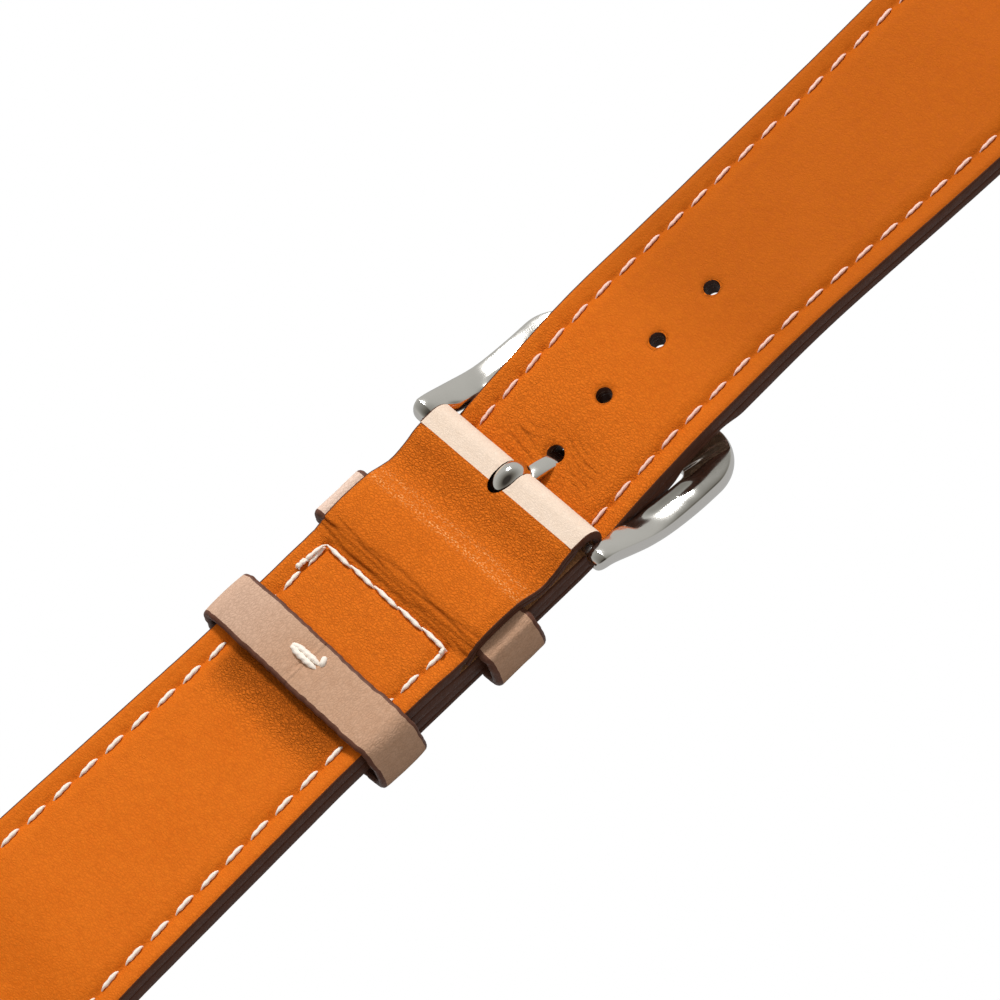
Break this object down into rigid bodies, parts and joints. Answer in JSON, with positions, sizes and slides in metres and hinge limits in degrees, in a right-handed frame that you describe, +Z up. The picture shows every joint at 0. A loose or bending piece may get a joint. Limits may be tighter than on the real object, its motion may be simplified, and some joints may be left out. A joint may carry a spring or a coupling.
{
  "type": "leather watch strap",
  "caption": "Two-piece leather watch strap with orange lining, fastened through a pin buckle, with a fixed keeper, a floating loop and sprung lug bars.",
  "frame": {"origin": "centre of the bounding box's bottom, on the surface that the strap lies on", "axes": "+X along the strap towards the long piece's lug end, +Y across it, +Z up, out of the lining"},
  "size_m": [0.1644, 0.025, 0.008],
  "materials": {
    "outer_leather": "fine-grained taupe calf, dark painted edges",
    "lining_leather": "smooth orange calf",
    "filler_board": "bonded leather board",
    "reinforcing_tape": "thin woven tape",
    "cream_thread": "waxed thread",
    "pink_thread": "waxed thread",
    "keeper_leather": "fine-grained taupe calf, dark painted edges",
    "polished_steel": "polished stainless steel",
    "bar_steel": "turned stainless steel",
    "spring_steel": "spring wire"
  },
  "bodies": {
    "root": {"short_outer_leather": "outer_leather", "short_lining": "lining_leather", "short_filler": "filler_board", "short_tape": "reinforcing_tape", "short_stitching": "cream_thread", "long_outer_leather": "outer_leather", "long_lining": "lining_leather", "long_filler": "filler_board", "long_tape": "reinforcing_tape", "long_stitching": "pink_thread", "fixed_keeper": "keeper_leather", "buckle_bar_tube": "bar_steel", "buckle_bar_spring": "spring_steel"},
    "short_end": {"short_outer_leather_lug_end": "outer_leather", "short_lining_lug_end": "lining_leather", "short_filler_lug_end": "filler_board", "short_tape_lug_end": "reinforcing_tape", "short_stitching_lug_end": "cream_thread"},
    "long_end": {"long_outer_leather_lug_end": "outer_leather", "long_lining_lug_end": "lining_leather", "long_filler_lug_end": "filler_board", "long_tape_lug_end": "reinforcing_tape", "long_stitching_lug_end": "pink_thread"},
    "buckle": {"buckle_frame": "polished_steel"},
    "tang": {"buckle_tang": "polished_steel"},
    "loop": {"floating_loop": "keeper_leather", "floating_loop_stitch": "cream_thread"},
    "short_bar": {"short_lug_bar_tube": "bar_steel", "short_lug_bar_spring": "spring_steel"},
    "long_bar": {"long_lug_bar_tube": "bar_steel", "long_lug_bar_spring": "spring_steel"},
    "buckle_bar_pin_left": {"buckle_bar_pin_left": "bar_steel"},
    "buckle_bar_pin_right": {"buckle_bar_pin_right": "bar_steel"},
    "short_lug_bar_pin_left": {"short_lug_bar_pin_left": "bar_steel"},
    "short_lug_bar_pin_right": {"short_lug_bar_pin_right": "bar_steel"},
    "long_lug_bar_pin_left": {"long_lug_bar_pin_left": "bar_steel"},
    "long_lug_bar_pin_right": {"long_lug_bar_pin_right": "bar_steel"}
  },
  "joints": [
    {"name": "buckle_swing", "type": "hinge", "parent": "root", "child": "buckle", "pos_m": [-0.00543, 0, 0.0057], "axis": [0, -1, 0], "range_deg": [0, 3.5]},
    {"name": "tang_swing", "type": "hinge", "parent": "root", "child": "tang", "pos_m": [-0.00543, 0, 0.0057], "axis": [0, -1, 0], "range_deg": [-1, 0.8]},
    {"name": "loop_slide", "type": "slide", "parent": "root", "child": "loop", "axis": [1, 0, 0], "range_m": [-0.012, 0.0065]},
    {"name": "short_bend", "type": "hinge", "parent": "root", "child": "short_end", "pos_m": [-0.05842, 0, 0.00625], "axis": [0, 1, 0], "range_deg": [0, 60], "stiffness_Nm_per_rad": 0.003},
    {"name": "long_bend", "type": "hinge", "parent": "root", "child": "long_end", "pos_m": [0.04258, 0, 0.00595], "axis": [0, -1, 0], "range_deg": [0, 60], "stiffness_Nm_per_rad": 0.003},
    {"name": "short_bar_turn", "type": "hinge", "parent": "short_end", "child": "short_bar", "pos_m": [-0.08042, 0, 0.0043], "axis": [0, 1, 0], "continuous": true},
    {"name": "long_bar_turn", "type": "hinge", "parent": "long_end", "child": "long_bar", "pos_m": [0.08057, 0, 0.00185], "axis": [0, 1, 0], "continuous": true},
    {"name": "buckle_bar_pin_left_press", "type": "slide", "parent": "root", "child": "buckle_bar_pin_left", "axis": [0, -1, 0], "range_m": [0, 0.001], "stiffness_N_per_m": 300, "springref_m": -0.0005, "deforming": ["buckle_bar_spring"]},
    {"name": "buckle_bar_pin_right_press", "type": "slide", "parent": "root", "child": "buckle_bar_pin_right", "axis": [0, 1, 0], "range_m": [0, 0.001], "stiffness_N_per_m": 300, "springref_m": -0.0005, "deforming": ["buckle_bar_spring"]},
    {"name": "short_lug_bar_pin_left_press", "type": "slide", "parent": "short_bar", "child": "short_lug_bar_pin_left", "axis": [0, -1, 0], "range_m": [0, 0.001], "stiffness_N_per_m": 300, "springref_m": -0.0005, "deforming": ["short_lug_bar_spring"]},
    {"name": "short_lug_bar_pin_right_press", "type": "slide", "parent": "short_bar", "child": "short_lug_bar_pin_right", "axis": [0, 1, 0], "range_m": [0, 0.001], "stiffness_N_per_m": 300, "springref_m": -0.0005, "deforming": ["short_lug_bar_spring"]},
    {"name": "long_lug_bar_pin_left_press", "type": "slide", "parent": "long_bar", "child": "long_lug_bar_pin_left", "axis": [0, -1, 0], "range_m": [0, 0.001], "stiffness_N_per_m": 300, "springref_m": -0.0005, "deforming": ["long_lug_bar_spring"]},
    {"name": "long_lug_bar_pin_right_press", "type": "slide", "parent": "long_bar", "child": "long_lug_bar_pin_right", "axis": [0, 1, 0], "range_m": [0, 0.001], "stiffness_N_per_m": 300, "springref_m": -0.0005, "deforming": ["long_lug_bar_spring"]}
  ]
}
